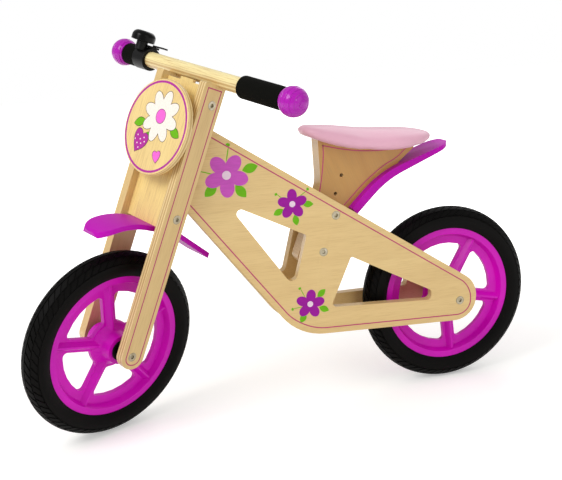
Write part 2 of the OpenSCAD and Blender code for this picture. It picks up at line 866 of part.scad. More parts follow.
// Points along the front mudguard's top face at the depth d below it, from its tip to its tail
front_arc_a = asin((front_guard_tip - front_flat) / front_nose_r);
function front_guard_points(d) =
  let (nose = arc([front_flat, front_guard_s - front_nose_r], front_nose_r - d, 90 - front_arc_a, 90, 16),
       bend = arc([-leg_rear, front_guard_s - front_bend_r], front_bend_r - d, 90, 90 + front_bend_a, 6),
       last = bend[6],
       run = (front_guard_tail - abs(last[0])) / cos(front_bend_a))
  concat(nose, bend, [last + run * [-cos(front_bend_a), -sin(front_bend_a)]]);
module front_mudguard() {
  top = front_guard_points(0);
  low = front_guard_points(guard_t);
  color("mediumvioletred")
    at_fork()
      difference() {
        intersection() {
          side_slab(2 * front_guard_half)
            polygon(concat(top, [for (i = [len(low) - 1 : -1 : 0]) low[i]]));
          linear_extrude(300)
            polygon(rounded([
              [front_guard_tip, -front_guard_half, front_guard_half - 4],
              [front_guard_tip, front_guard_half, front_guard_half - 4],
              [-front_guard_tail, front_guard_half, 8],
              [-front_guard_tail, -front_guard_half, 8]
            ]));
        }
        translate([-trail_offset, 0, 100]) cylinder(r = rod_r, h = 200);
        translate([-trail_offset, 0, 100]) cylinder(r = nut_pocket_r, h = nut_s + nut_t - 100);
      }
}
module front_axle() {
  color("silver") at_fork() axle(fork_outer);
}
module front_axle_nut() {
  color("silver") at_fork() axle_nut(fork_outer);
}
module front_spacers() {
  color("dimgray") at_fork() wheel_spacers(fork_half_gap);
}
module front_rim() {
  color("mediumvioletred") at_fork() rim(front_spoke_a);
}
module front_tyre() {
  color("black") at_fork() tyre();
}
module front_bushes() {
  color("black") at_fork() hub_bushes();
}

// The handlebar and what is on it, placed about the bar's centre
module at_bar() {
  at_fork() translate([-trail_offset, 0, bar_s]) children();
}
module at_grips() {
  at_bar() translate([0, bar_shift, 0]) children();
}
bar_half = ball_y - 5;
bar_screw_deep = 35;
module handlebar() {
  color("burlywood")
    at_bar()
      difference() {
        y_rod(bar_r, bar_shift - bar_half, bar_shift + bar_half);
        both_sides()
          translate([0, leg_mid_y, -20]) {
            cylinder(r = screw_r, h = 60);
            translate([0, 0, 20 + bar_r - screw_sink]) cylinder(r = screw_head_r, h = 20);
          }
      }
}
module bar_screws() {
  color("silver")
    at_bar()
      both_sides()
        translate([0, leg_mid_y, 0]) {
          translate([0, 0, -bar_screw_deep]) cylinder(r = screw_r, h = bar_screw_deep + bar_r - screw_sink);
          translate([0, 0, bar_r - screw_sink]) cylinder(r = screw_head_r, h = screw_sink - 0.5);
        }
}
grip_end = ball_y - sqrt(pow(ball_r, 2) - pow(grip_r, 2)) - face_gap;
module grip(y0) {
  difference() {
    y_rod(grip_r, y0, grip_end);
    y_rod(bar_r, y0 - 1, grip_end + 1);
  }
}
module ball() {
  difference() {
    translate([0, ball_y, 0]) rotate([90, 0, 0]) sphere(r = ball_r);
    y_rod(bar_r, 0, bar_half);
    y_rod(ball_r + 1, 0, grip_end + face_gap);
  }
}
module left_grip() {
  color("black") at_grips() grip(grip_in);
}
module right_grip() {
  color("black") at_grips() mirror([0, 1, 0]) grip(collar_out);
}
module left_ball() {
  color("mediumvioletred") at_grips() ball();
}
module right_ball() {
  color("mediumvioletred") at_grips() mirror([0, 1, 0]) ball();
}
module at_bell() {
  at_grips() translate([bell_e, -bell_y, 0]) children();
}
bell_base_r = 9;
bell_wall = 1.6;
lever_r = 6;
lever_t = 2.4;
lever_len = 24;
arm_low = 17.5;
pivot_r = 1.5;
base_low = 10;
module bell_collar() {
  color("black")
    at_grips()
      difference() {
        y_rod(collar_r, -collar_out, -collar_in);
        y_rod(bar_r, -collar_out - 1, -collar_in + 1);
      }
}
module bell_base() {
  color("black")
    difference() {
      at_bell() {
        translate([0, 0, base_low]) cylinder(r = bell_base_r, h = dome_lift + 2 - base_low);
        translate([-5, -6, base_low + 3]) cube([10, 12, 6]);
        translate([-26, 4, arm_low]) cube([22, 9, 3]);
      }
      at_grips() y_rod(collar_r, -collar_out - 1, -collar_in + 1);
      at_bell() translate([0, 0, dome_lift - 6]) cylinder(r = 2, h = 40);
      at_bell() translate([-20, 8.5, 0]) cylinder(r = pivot_r + run_gap, h = 60);
    }
}
module bell_dome() {
  color("black")
    at_bell()
      translate([0, 0, dome_lift])
        difference() {
          rotate_extrude() dome_profile(dome_r, dome_h);
          rotate_extrude()
            difference() {
              translate([0, -1]) dome_profile(dome_r - bell_wall, dome_h + 1 - bell_wall);
              translate([0, -2]) square([bell_base_r - 2, dome_h + 5]);
            }
          translate([0, 0, -2]) cylinder(r = bell_base_r, h = 4);
          translate([0, 0, -2]) cylinder(r = 2, h = dome_h + 10);
          translate([0, 0, dome_h - 1.5]) cylinder(r = 3.5, h = 10);
        }
}
module dome_profile(r, h) {
  round_r = r / 2;
  square([r, h - round_r]);
  square([r - round_r, h]);
  intersection() {
    translate([r - round_r, h - round_r]) circle(r = round_r);
    square([r, h]);
  }
}
module bell_screw() {
  color("silver")
    at_bell() {
      translate([0, 0, dome_lift - 6]) cylinder(r = 2, h = dome_h + 4.5);
      translate([0, 0, dome_lift + dome_h - 1.5]) cylinder(r = 3.5, h = 1.8);
    }
}
module bell_lever() {
  color("black")
    at_bell()
      translate([-20, 8.5, 0]) {
        translate([0, 0, arm_low + 0.2]) cylinder(r = pivot_r, h = 5);
        translate([0, 0, arm_low + 3 + face_gap]) {
          cylinder(r = 4, h = lever_t);
          translate([-4, 0, 0]) cube([8, lever_len, lever_t]);
          translate([0, lever_len, 0]) cylinder(r = lever_r, h = lever_t);
        }
      }
}

left_panel();
right_panel();
head_block();
head_bushes();
head_screws();
seat_post();
post_spacers();
post_bolts();
seat_board();
seat_screws();
seat_pad();
rear_mudguard();
rear_mudguard_screws();
rear_axle();
rear_axle_nut();
rear_spacers();
rear_rim();
rear_tyre();
rear_bushes();
left_leg();
right_leg();
front_board();
upper_block();
lower_block();
thrust_washers();
steering_bolt();
steering_nut();
leg_bolts();
board_screws();
plaque_block();
plaque();
front_mudguard();
front_axle();
front_axle_nut();
front_spacers();
front_rim();
front_tyre();
front_bushes();
handlebar();
bar_screws();
left_grip();
right_grip();
left_ball();
right_ball();
bell_collar();
bell_base();
bell_dome();
bell_screw();
bell_lever();
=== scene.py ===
import json
import math
import bmesh
import bpy
from mathutils import Matrix, Vector


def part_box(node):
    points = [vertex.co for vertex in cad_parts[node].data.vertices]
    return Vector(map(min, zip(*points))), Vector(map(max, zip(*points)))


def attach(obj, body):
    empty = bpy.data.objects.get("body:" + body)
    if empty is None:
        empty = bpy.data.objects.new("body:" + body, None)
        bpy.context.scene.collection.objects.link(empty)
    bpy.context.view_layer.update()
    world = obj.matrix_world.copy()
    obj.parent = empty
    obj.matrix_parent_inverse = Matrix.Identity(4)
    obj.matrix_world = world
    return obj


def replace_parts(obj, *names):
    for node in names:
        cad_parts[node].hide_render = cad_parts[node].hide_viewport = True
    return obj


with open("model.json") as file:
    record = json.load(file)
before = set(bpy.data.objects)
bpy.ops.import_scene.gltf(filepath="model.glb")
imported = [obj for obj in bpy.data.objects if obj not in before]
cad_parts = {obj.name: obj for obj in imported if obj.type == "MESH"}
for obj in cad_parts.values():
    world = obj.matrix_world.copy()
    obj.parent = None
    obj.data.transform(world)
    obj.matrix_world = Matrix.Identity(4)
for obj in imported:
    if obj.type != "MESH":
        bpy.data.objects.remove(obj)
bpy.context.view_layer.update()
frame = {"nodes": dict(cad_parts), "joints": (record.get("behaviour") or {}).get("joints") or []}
mm = 0.001


# where things are: the wheel axles and the steering axis come from the frame's own joints
joints = {j["name"]: j for j in frame["joints"]}
rearAxle = Vector(joints["rear_wheel_spin"]["pos_m"])
frontAxle = Vector(joints["front_wheel_spin"]["pos_m"])
forkUp = Vector(joints["steering"]["axis"]).normalized()
forkLeft = Vector(joints["front_wheel_spin"]["axis"]).normalized()
forkAhead = forkLeft.cross(forkUp)
forkPlace = Matrix.Translation(frontAxle) @ Matrix((forkAhead, forkLeft, forkUp)).transposed().to_4x4()

# lengths in the settings are in mm and angles in degrees, unless a comment says otherwise
bike = {"toe": 4.27, "panelFace": 59.04, "ply": 15, "trail": 14, "barUp": 435, "legFace": 59,
        "postFace": 15, "postWide": 30, "postLean": 21.3, "boardFace": 6, "boardThick": 6,
        "plaqueFace": 37.5, "plaqueThick": 10}


def panelPlace(side):
    # x runs forward along the panel, y out of its face, z up; side is 1 on the rider's left
    place = Matrix.Translation((rearAxle.x, bike["panelFace"] * mm, 0))
    place = place @ Matrix.Rotation(math.radians(-bike["toe"]), 4, "Z")
    return Matrix.Diagonal((1, side, 1, 1)) @ place


def legPlace(side):
    return forkPlace @ Matrix.Diagonal((1, side, 1, 1)) @ Matrix.Translation((0, bike["legFace"] * mm, 0))


def postPlace(side):
    return Matrix.Diagonal((1, side, 1, 1)) @ Matrix.Translation((rearAxle.x, bike["postFace"] * mm, 0))


barPlace = forkPlace @ Matrix.Translation((-bike["trail"] * mm, 0, bike["barUp"] * mm))


# camera: turn is the angle from the bike's left side towards its front, height the angle above level
shot = {"look": (7.0, 0, 276.8), "turn": 17.62, "height": 13.81, "roll": -2.85, "far": 1559.8,
        "lens": 62.01, "sensor": 36, "clip": 50000}


def addCamera():
    turn, height = math.radians(shot["turn"]), math.radians(shot["height"])
    back = Vector((math.sin(turn) * math.cos(height), math.cos(turn) * math.cos(height), math.sin(height)))
    lens = bpy.data.cameras.new("camera")
    lens.lens = shot["lens"]
    lens.sensor_width = shot["sensor"]
    lens.clip_end = shot["clip"] * mm
    camera = bpy.data.objects.new("camera", lens)
    facing = back.to_track_quat("Z", "Y").to_matrix().to_4x4()
    facing = facing @ Matrix.Rotation(math.radians(shot["roll"]), 4, "Z")
    camera.matrix_world = Matrix.Translation((Vector(shot["look"]) + back * shot["far"]) * mm) @ facing
    bpy.context.scene.collection.objects.link(camera)
    bpy.context.scene.camera = camera


addCamera()
print("camera placed")


# materials
def hexColor(code):
    parts = [int(code[i:i + 2], 16) / 255 for i in (1, 3, 5)]
    linear = [p / 12.92 if p <= 0.04045 else ((p + 0.055) / 1.055) ** 2.4 for p in parts]
    return (*linear, 1)


def addNode(tree, kind, settings=None, inputs=None):
    node = tree.nodes.new(kind)
    for key, value in (settings or {}).items():
        setattr(node, key, value)
    for key, value in (inputs or {}).items():
        if isinstance(value, bpy.types.NodeSocket):
            tree.links.new(value, node.inputs[key])
        else:
            node.inputs[key].default_value = value
    return node


def newMaterial(name, **sockets):
    mat = bpy.data.materials.new(name)
    mat.use_nodes = True
    shader = mat.node_tree.nodes["Principled BSDF"]
    for key, value in sockets.items():
        shader.inputs[key.replace("_", " ")].default_value = value
    return mat, mat.node_tree, shader


def setRamp(ramp, stops):
    line = ramp.color_ramp
    while len(line.elements) < len(stops):
        line.elements.new(0.5)
    for element, (spot, color) in zip(line.elements, stops):
        element.position = spot
        element.color = hexColor(color)


def objectSpace(tree, place=None):
    # the pattern's own axes: place is where its origin lies and how it is turned
    coordinates = addNode(tree, "ShaderNodeTexCoord").outputs["Object"]
    back = (place or Matrix.Identity(4)).inverted()
    turned = addNode(tree, "ShaderNodeMapping", inputs={"Vector": coordinates})
    turned.inputs["Rotation"].default_value = back.to_euler()
    turned.inputs["Location"].default_value = back.to_translation()
    return turned.outputs["Vector"]


def stretched(tree, space, scales):
    return addNode(tree, "ShaderNodeVectorMath", {"operation": "MULTIPLY"}, {0: space, 1: scales}).outputs[0]


def mottled(tree, shader, code, pattern, low, high):
    # one colour, whose brightness wavers from low to high with the pattern
    tone = addNode(tree, "ShaderNodeHueSaturation", inputs={"Color": hexColor(code)})
    level = addNode(tree, "ShaderNodeMapRange", inputs={
        "Value": pattern.outputs["Fac"], "From Min": 0.3, "From Max": 0.7, "To Min": low, "To Max": high})
    tree.links.new(level.outputs[0], tone.inputs["Value"])
    tree.links.new(tone.outputs["Color"], shader.inputs["Base Color"])


def bumped(tree, shader, height, strength, deep):
    # the relief that the height gives, deep in mm
    bump = addNode(tree, "ShaderNodeBump", inputs={
        "Strength": strength, "Distance": deep * mm, "Height": height})
    tree.links.new(bump.outputs["Normal"], shader.inputs["Normal"])


# birch plywood under satin varnish: pale straight grain on the faces, and layers that show on every edge
plywood = {"face": "#E6C88A", "vein": "#D9B87C", "shade": "#E2D2BC", "glow": "#FFFDF6",
           "paleLayer": "#EBD49C", "darkLayer": "#BF9459", "glue": "#9C7443", "streakLong": 38,
           "streakWide": 1.1, "figureLong": 260, "figureWide": 26, "figured": 0.35, "layer": 1.25,
           "outerVeneer": (0.5, 0.9), "wornEdge": 0.28}


def alongGrain(grain, wide, long):
    # pattern scales that make it wide across the grain and long along it
    scales = [1000 / wide] * 3
    scales[grain] = 1000 / long
    return scales


def plywoodMaterial(name, place, grain, through, thick, tint=None, vein=None):
    # grain and through are 0, 1 or 2: the axis along the grain and the axis through the layers
    mat, tree, shader = newMaterial(name, Roughness=0.42, IOR=1.5, Coat_Weight=0.25, Coat_Roughness=0.2)
    space = objectSpace(tree, place)
    face = tint or plywood["face"]
    streaks = addNode(tree, "ShaderNodeTexNoise", inputs={
        "Vector": stretched(tree, space, alongGrain(grain, plywood["streakWide"], plywood["streakLong"])),
        "Scale": 1, "Detail": 4, "Roughness": 0.6})
    figure = addNode(tree, "ShaderNodeTexNoise", inputs={
        "Vector": stretched(tree, space, alongGrain(grain, plywood["figureWide"], plywood["figureLong"])),
        "Scale": 1, "Detail": 2, "Distortion": 0.6})
    veins = addNode(tree, "ShaderNodeValToRGB", inputs={"Fac": streaks.outputs["Fac"]})
    setRamp(veins, [(0.3, vein or plywood["vein"]), (0.52, face), (0.75, face)])
    tone = addNode(tree, "ShaderNodeValToRGB", inputs={"Fac": figure.outputs["Fac"]})
    setRamp(tone, [(0.3, plywood["shade"]), (0.7, plywood["glow"])])
    broad = addNode(tree, "ShaderNodeMix", {"data_type": "RGBA", "blend_type": "MULTIPLY"}, {
        "Factor": plywood["figured"], 6: veins.outputs["Color"], 7: tone.outputs["Color"]})
    # layers: the depth below the face, counted in pairs of veneers
    depth = addNode(tree, "ShaderNodeSeparateXYZ", inputs={0: space}).outputs[through]
    pairs = addNode(tree, "ShaderNodeMath", {"operation": "MULTIPLY"}, {0: depth, 1: 500 / plywood["layer"]})
    wave = addNode(tree, "ShaderNodeMath", {"operation": "PINGPONG"}, {0: pairs.outputs[0], 1: 1.0})
    layers = addNode(tree, "ShaderNodeValToRGB", inputs={"Fac": wave.outputs[0]})
    setRamp(layers, [(0.0, plywood["darkLayer"]), (0.38, plywood["darkLayer"]), (0.46, plywood["glue"]),
                     (0.54, plywood["paleLayer"]), (1.0, plywood["paleLayer"])])
    # only below the outer veneers, so that the faces keep their own colour
    middle = addNode(tree, "ShaderNodeMath", {"operation": "ADD"}, {0: depth, 1: thick * mm / 2})
    away = addNode(tree, "ShaderNodeMath", {"operation": "ABSOLUTE"}, {0: middle.outputs[0]})
    starts, ends = plywood["outerVeneer"]
    inside = addNode(tree, "ShaderNodeMapRange", inputs={
        "Value": away.outputs[0], "From Min": (thick / 2 - starts) * mm, "From Max": (thick / 2 - ends) * mm})
    color = addNode(tree, "ShaderNodeMix", {"data_type": "RGBA"}, {
        "Factor": inside.outputs[0], 6: broad.outputs[2], 7: layers.outputs["Color"]})
    soft = addNode(tree, "ShaderNodeMix", {"data_type": "RGBA"}, {
        "Factor": plywood["wornEdge"], 6: color.outputs[2], 7: broad.outputs[2]})
    tree.links.new(soft.outputs[2], shader.inputs["Base Color"])
    bumped(tree, shader, streaks.outputs["Fac"], 0.12, 0.3)
    return mat


# sprayed lacquer: an even satin coat with a faint orange peel, so the highlights waver
lacquer = {"cloudsPerMetre": 9, "peelPerMetre": 260}


def lacquerMaterial(name, code, rough, shine, coat):
    mat, tree, shader = newMaterial(name, Roughness=rough, IOR=1.5, Specular_IOR_Level=shine,
                                    Coat_Weight=coat, Coat_Roughness=0.08)
    space = objectSpace(tree)
    cloud = addNode(tree, "ShaderNodeTexNoise", inputs={
        "Vector": space, "Scale": lacquer["cloudsPerMetre"], "Detail": 3})
    mottled(tree, shader, code, cloud, 0.96, 1.04)
    peel = addNode(tree, "ShaderNodeTexNoise", inputs={
        "Vector": space, "Scale": lacquer["peelPerMetre"], "Detail": 1})
    bumped(tree, shader, peel.outputs["Fac"], 0.08, 0.2)
    return mat


# moulded plastic or foam: one colour with a fine skin; grit is the size of its grain in mm
moulded = {"cloudsPerMetre": 14, "gritDeep": 0.3}


def mouldedMaterial(name, code, rough, grit, depth, spread=0.08, specular=0.5):
    mat, tree, shader = newMaterial(name, Roughness=rough, IOR=1.5, Specular_IOR_Level=specular)
    space = objectSpace(tree)
    cloud = addNode(tree, "ShaderNodeTexNoise", inputs={
        "Vector": space, "Scale": moulded["cloudsPerMetre"], "Detail": 4})
    mottled(tree, shader, code, cloud, 1 - spread, 1 + spread)
    grain = addNode(tree, "ShaderNodeTexNoise", inputs={"Vector": space, "Scale": 1000 / grit, "Detail": 2})
    bumped(tree, shader, grain.outputs["Fac"], depth, grit * moulded["gritDeep"])
    return mat


# turned and plated metal: a soft brushed shine
metal = {"cloudsPerMetre": 160, "light": "#F2EEE4", "worn": 0.3}


def metalMaterial(name, code, rough):
    mat, tree, shader = newMaterial(name, Metallic=1, Roughness=rough)
    cloud = addNode(tree, "ShaderNodeTexNoise", inputs={
        "Vector": objectSpace(tree), "Scale": metal["cloudsPerMetre"], "Detail": 3})
    tint = addNode(tree, "ShaderNodeValToRGB", inputs={"Fac": cloud.outputs["Fac"]})
    setRamp(tint, [(0.3, code), (0.7, metal["light"])])
    mixed = addNode(tree, "ShaderNodeMix", {"data_type": "RGBA"}, {
        "Factor": metal["worn"], 6: hexColor(code), 7: tint.outputs["Color"]})
    tree.links.new(mixed.outputs[2], shader.inputs["Base Color"])
    bumped(tree, shader, cloud.outputs["Fac"], 0.1, 0.1)
    return mat


# printing ink on varnished wood: the grain still mottles it slightly
ink = {"grainPerMetre": (60, 400, 400)}


def inkMaterial(name, code):
    mat, tree, shader = newMaterial(name, Roughness=0.5, IOR=1.5, Specular_IOR_Level=0.2, Coat_Weight=0.05,
                                    Coat_Roughness=0.2)
    grain = stretched(tree, objectSpace(tree), ink["grainPerMetre"])
    mottle = addNode(tree, "ShaderNodeTexNoise", inputs={"Vector": grain, "Scale": 1, "Detail": 3})
    mottled(tree, shader, code, mottle, 0.92, 1.05)
    return mat


# pink leatherette: a fine pebbled skin with a soft satin shine
skin = {"cloudsPerMetre": 18, "pebblesPerMetre": 900}


def leatheretteMaterial(name, code):
    mat, tree, shader = newMaterial(name, Roughness=0.4, IOR=1.5, Sheen_Weight=0.15, Sheen_Roughness=0.4)
    space = objectSpace(tree)
    cloud = addNode(tree, "ShaderNodeTexNoise", inputs={
        "Vector": space, "Scale": skin["cloudsPerMetre"], "Detail": 4})
    mottled(tree, shader, code, cloud, 0.97, 1.02)
    pebbles = addNode(tree, "ShaderNodeTexVoronoi", {"feature": "SMOOTH_F1"}, {
        "Vector": space, "Scale": skin["pebblesPerMetre"]})
    bumped(tree, shader, pebbles.outputs["Distance"], 0.15, 0.3)
    return mat


magentaLacquer = lacquerMaterial("magenta lacquer on plywood", "#BE0AB4", 0.42, 0.1, 0.04)
ballLacquer = lacquerMaterial("magenta lacquer on turned beech", "#B20AB2", 0.26, 0.2, 0.3)
magentaPlastic = mouldedMaterial("magenta moulded ABS", "#D604C0", 0.36, 0.8, 0.1, 0.08, 0.28)
evaFoam = mouldedMaterial("black EVA tyre foam", "#050403", 0.5, 0.9, 0.5, 0.3, 0.08)
gripFoam = mouldedMaterial("black foam rubber", "#0C0C09", 0.95, 1.1, 1.0, 0.3, 0.08)
blackPlastic = mouldedMaterial("black moulded nylon", "#060606", 0.4, 0.6, 0.15, 0.1, 0.18)
bellEnamel = lacquerMaterial("black stoved enamel", "#020202", 0.24, 0.12, 0.04)
whiteNylon = mouldedMaterial("natural nylon", "#E8E6DE", 0.5, 0.6, 0.1)
zincSteel = metalMaterial("dulled zinc plated steel", "#958A6E", 0.4)
bushBrass = metalMaterial("turned brass", "#C9A14A", 0.3)
leatherette = leatheretteMaterial("pink leatherette", "#E9B2C6")
stripeInk = inkMaterial("rose line ink", "#C04A74")
violetInk = inkMaterial("violet ink", "#CE58C2")
magentaInk = inkMaterial("magenta ink", "#9C0C9A")
leafInk = inkMaterial("leaf green ink", "#6CB80C")
paleInk = inkMaterial("pale pink ink", "#F0D9EA")
creamInk = inkMaterial("cream white ink", "#FDF1E6")
pinkInk = inkMaterial("bright pink ink", "#F66CD6")
blackInk = inkMaterial("black ink", "#16120F")
ringInk = inkMaterial("magenta ring ink", "#B52E9C")
print("materials made")


# mesh helpers
weld = {"own": 0.001, "cad": 0.002, "flat": 1}
easing = {"segments": 3, "angle": 32}
lineSteps = 10


def addPiece(name, bm, mats, body, place=None, smooth=35):
    if place is not None:
        bmesh.ops.transform(bm, matrix=place, verts=bm.verts)
    bmesh.ops.remove_doubles(bm, verts=bm.verts, dist=weld["own"] * mm)
    bmesh.ops.recalc_face_normals(bm, faces=bm.faces)
    mesh = bpy.data.meshes.new(name)
    bm.to_mesh(mesh)
    bm.free()
    piece = bpy.data.objects.new(name, mesh)
    bpy.context.scene.collection.objects.link(piece)
    for mat in mats if isinstance(mats, (list, tuple)) else [mats]:
        mesh.materials.append(mat)
    mesh.polygons.foreach_set("use_smooth", [True] * len(mesh.polygons))
    mesh.set_sharp_from_angle(angle=math.radians(smooth))
    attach(piece, body)
    return piece


def roundedCopy(node, body, mat, width):
    # a CAD piece with its hard edges eased, as sanding or a mould leaves them
    bm = bmesh.new()
    bm.from_mesh(frame["nodes"][node].data)
    bmesh.ops.remove_doubles(bm, verts=bm.verts, dist=weld["cad"] * mm)
    bmesh.ops.dissolve_limit(bm, angle_limit=math.radians(weld["flat"]), verts=bm.verts, edges=bm.edges)
    piece = addPiece(node + "_piece", bm, mat, body)
    ease = piece.modifiers.new("eased edges", "BEVEL")
    ease.width = width * mm
    ease.segments = easing["segments"]
    ease.limit_method = "ANGLE"
    ease.angle_limit = math.radians(easing["angle"])
    ease.harden_normals = True
    ease.use_clamp_overlap = True
    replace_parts(piece, node)


def printLoop(bm, corners, inset, width):
    # a printed line that follows an outline; corners are x, z and how far the rounding reaches, in mm
    start = [bm.verts.new((x * mm, 0, z * mm)) for x, z, reach in corners]
    face = bm.faces.new(start)
    face.normal_update()
    bmesh.ops.inset_region(bm, faces=[face], thickness=inset * mm, use_boundary=True, use_even_offset=True)
    inner = list(face.verts)
    bmesh.ops.delete(bm, geom=[f for f in bm.faces if f is not face], context="FACES")
    bm.normal_update()
    for vert, (x, z, reach) in zip(inner, corners):
        if reach:
            bmesh.ops.bevel(bm, geom=[vert], offset=reach * mm, offset_type="OFFSET", segments=lineSteps,
                            profile=0.5, affect="VERTICES", material=-1)
    face = max(bm.faces, key=lambda f: f.calc_area())
    bmesh.ops.inset_region(bm, faces=[face], thickness=width * mm, use_boundary=True, use_even_offset=True)
    bmesh.ops.delete(bm, geom=[max(bm.faces, key=lambda f: f.calc_area())], context="FACES")


def lift(bm, height):
    # gives flat print a little body and sets it on the face it is printed on
    grown = bmesh.ops.extrude_face_region(bm, geom=bm.faces[:])
    moved = [g for g in grown["geom"] if isinstance(g, bmesh.types.BMVert)]
    bmesh.ops.translate(bm, vec=(0, height * mm, 0), verts=moved)


# plywood pieces: the layers of the blocks and the dowel start at their place and reach far past the piece
woodDepth = {"block": 300, "dowel": 2000}
sides = (("left", 1), ("right", -1))
panelWood = [plywoodMaterial("birch panel, " + word, panelPlace(side), 0, 1, bike["ply"])
             for word, side in sides]
legWood = [plywoodMaterial("birch leg, " + word, legPlace(side), 2, 1, bike["ply"])
           for word, side in sides]
boardPlace = forkPlace @ Matrix.Translation((bike["boardFace"] * mm, 0, 0))
# the board's tint is paler than the panels' birch: painted light, for the key lamp falling on its front face
paintedLightBoardWood = plywoodMaterial("birch board, painted light", boardPlace, 2, 0, bike["boardThick"], "#FFE596")
blockPlace = forkPlace @ Matrix.Translation((0, (bike["legFace"] - bike["ply"]) * mm, 0))
blockWood = plywoodMaterial("beech block", blockPlace, 1, 0, woodDepth["block"])
dowelWood = plywoodMaterial("beech dowel", barPlace, 1, 2, woodDepth["dowel"], "#FFF0B2")
leanedPost = postPlace(1) @ Matrix.Rotation(math.radians(bike["postLean"]), 4, "Y")
# the post's tint and vein are darker than the panels' birch: painted shade, for the shade on the post; the
# spacers and the seat board share it
paintedShadePostWood = plywoodMaterial("birch post, painted shade", leanedPost, 2, 1, bike["postWide"], "#C9994E", "#BD9450")
plaqueFront = forkPlace @ Matrix.Translation((bike["plaqueFace"] * mm, 0, 0))
# the plaque's tint is paler than the panels' birch: painted light, for the key lamp falling on its front face
paintedLightPlaqueWood = plywoodMaterial("birch plaque, painted light", plaqueFront, 2, 0, bike["plaqueThick"], "#F6DA94")
for node, body, mat, width in (
        ("left_panel", "frame", panelWood[0], 1.6), ("right_panel", "frame", panelWood[1], 1.6),
        ("left_leg", "fork", legWood[0], 1.6), ("right_leg", "fork", legWood[1], 1.6),
        ("front_board", "fork", paintedLightBoardWood, 0.6), ("upper_block", "fork", blockWood, 0.6),
        ("lower_block", "fork", blockWood, 0.6), ("plaque_block", "fork", blockWood, 0.8),
        ("head_block", "frame", blockWood, 0.5), ("seat_post", "frame", paintedShadePostWood, 1.5),
        ("post_spacers", "frame", paintedShadePostWood, 0.8), ("seat_board", "frame", paintedShadePostWood, 1.0),
        ("plaque", "fork", paintedLightPlaqueWood, 2.5), ("handlebar", "fork", dowelWood, 0.6)):
    roundedCopy(node, body, mat, width)
print("plywood pieces made")


# painted, moulded and metal pieces
for node, body, mat, width in (
        ("front_mudguard", "fork", magentaLacquer, 2.4), ("rear_mudguard", "frame", magentaLacquer, 2.4),
        ("front_rim", "front_wheel", magentaPlastic, 1.2), ("rear_rim", "rear_wheel", magentaPlastic, 1.2),
        ("left_grip", "fork", gripFoam, 3.0), ("right_grip", "fork", gripFoam, 3.0),
        ("bell_collar", "fork", blackPlastic, 1.2), ("bell_base", "fork", blackPlastic, 0.5),
        ("bell_dome", "fork", bellEnamel, 0.5), ("bell_lever", "bell_lever", blackPlastic, 0.6),
        ("front_bushes", "front_wheel", blackPlastic, 0.6), ("rear_bushes", "rear_wheel", blackPlastic, 0.6),
        ("front_axle", "fork", zincSteel, 0.5), ("rear_axle", "frame", zincSteel, 0.5),
        ("front_axle_nut", "fork", zincSteel, 0.5), ("rear_axle_nut", "frame", zincSteel, 0.5),
        ("leg_bolts", "fork", zincSteel, 0.5), ("post_bolts", "frame", zincSteel, 0.5)):
    roundedCopy(node, body, mat, width)
for node, mat in (("head_bushes", bushBrass), ("head_screws", zincSteel), ("seat_screws", zincSteel),
                  ("rear_mudguard_screws", zincSteel), ("rear_spacers", blackPlastic),
                  ("front_spacers", blackPlastic), ("thrust_washers", whiteNylon),
                  ("steering_bolt", zincSteel), ("steering_nut", zincSteel),
                  ("board_screws", zincSteel), ("bar_screws", zincSteel), ("bell_screw", zincSteel)):
    mesh = frame["nodes"][node].data
    mesh.materials.clear()
    mesh.materials.append(mat)
print("painted, moulded and metal pieces made")


# printed lines round the panels, the legs and the seat post
lineThick = 0.12
panelLine = {"inset": 9, "width": 1.9,
             "corners": [(-29, 179.3, 20), (-29, 114.8, 26), (280, 123.7, 40), (466, 371.4, 3),
                         (423, 481.7, 3)]}
postLine = {"inset": 7, "width": 1.8,
            "corners": [(240, 330, 0), (222, 396, 60), (227, 436, 4), (180, 423, 20), (141, 417, 20),
                        (100, 416, 20), (64, 419.5, 0), (61, 409, 2), (88, 386, 10), (122.2, 373.5, 50),
                        (183.5, 316, 0)]}
legLine = {"inset": 6, "width": 1.8,
           "corners": [(-22, -20, 13), (18, -20, 13), (18, 426, 1), (-22, 426, 1)]}
for word, side in sides:
    for part, line, body, place in (("panel", panelLine, "frame", panelPlace),
                                    ("leg", legLine, "fork", legPlace),
                                    ("post", postLine, "frame", postPlace)):
        bm = bmesh.new()
        printLoop(bm, line["corners"], line["inset"], line["width"])
        lift(bm, lineThick)
        addPiece(word + "_" + part + "_line", bm, stripeInk, body, place(side))


# flowers: five round petals, pointed leaves and a budding tendril
# sizes and distances are shares of the flower's own size; the heights, the rise and the thickness are in mm
flower = {"petals": 5, "petalWide": 0.66, "petalLong": 0.88, "petalOut": 0.57, "petalUp": 0.05,
          "petalRise": 0.006, "leafWide": 0.44, "leafLong": 0.74, "leafPoint": 0.5, "leafUp": 0.02,
          "stemWide": 0.05, "stemLong": 0.55, "stemOut": 0.72, "stemLean": 6, "budWide": 0.17,
          "budLong": 0.2, "eye": 0.4, "eyeUp": 0.1, "thick": 0.06}


def toward(angle):
    return Vector((math.cos(math.radians(angle)), math.sin(math.radians(angle))))


def setDown(bm, made, x, z, turn, height, index):
    # turns a flat shape upright and sets it in the print; index picks its ink
    bmesh.ops.rotate(bm, cent=(0, 0, 0), matrix=Matrix.Rotation(math.radians(turn), 3, "Z"), verts=made)
    bmesh.ops.rotate(bm, cent=(0, 0, 0), matrix=Matrix.Rotation(math.radians(90), 3, "X"), verts=made)
    bmesh.ops.translate(bm, vec=(x * mm, height * mm, z * mm), verts=made)
    for f in {f for v in made for f in v.link_faces}:
        f.material_index = index


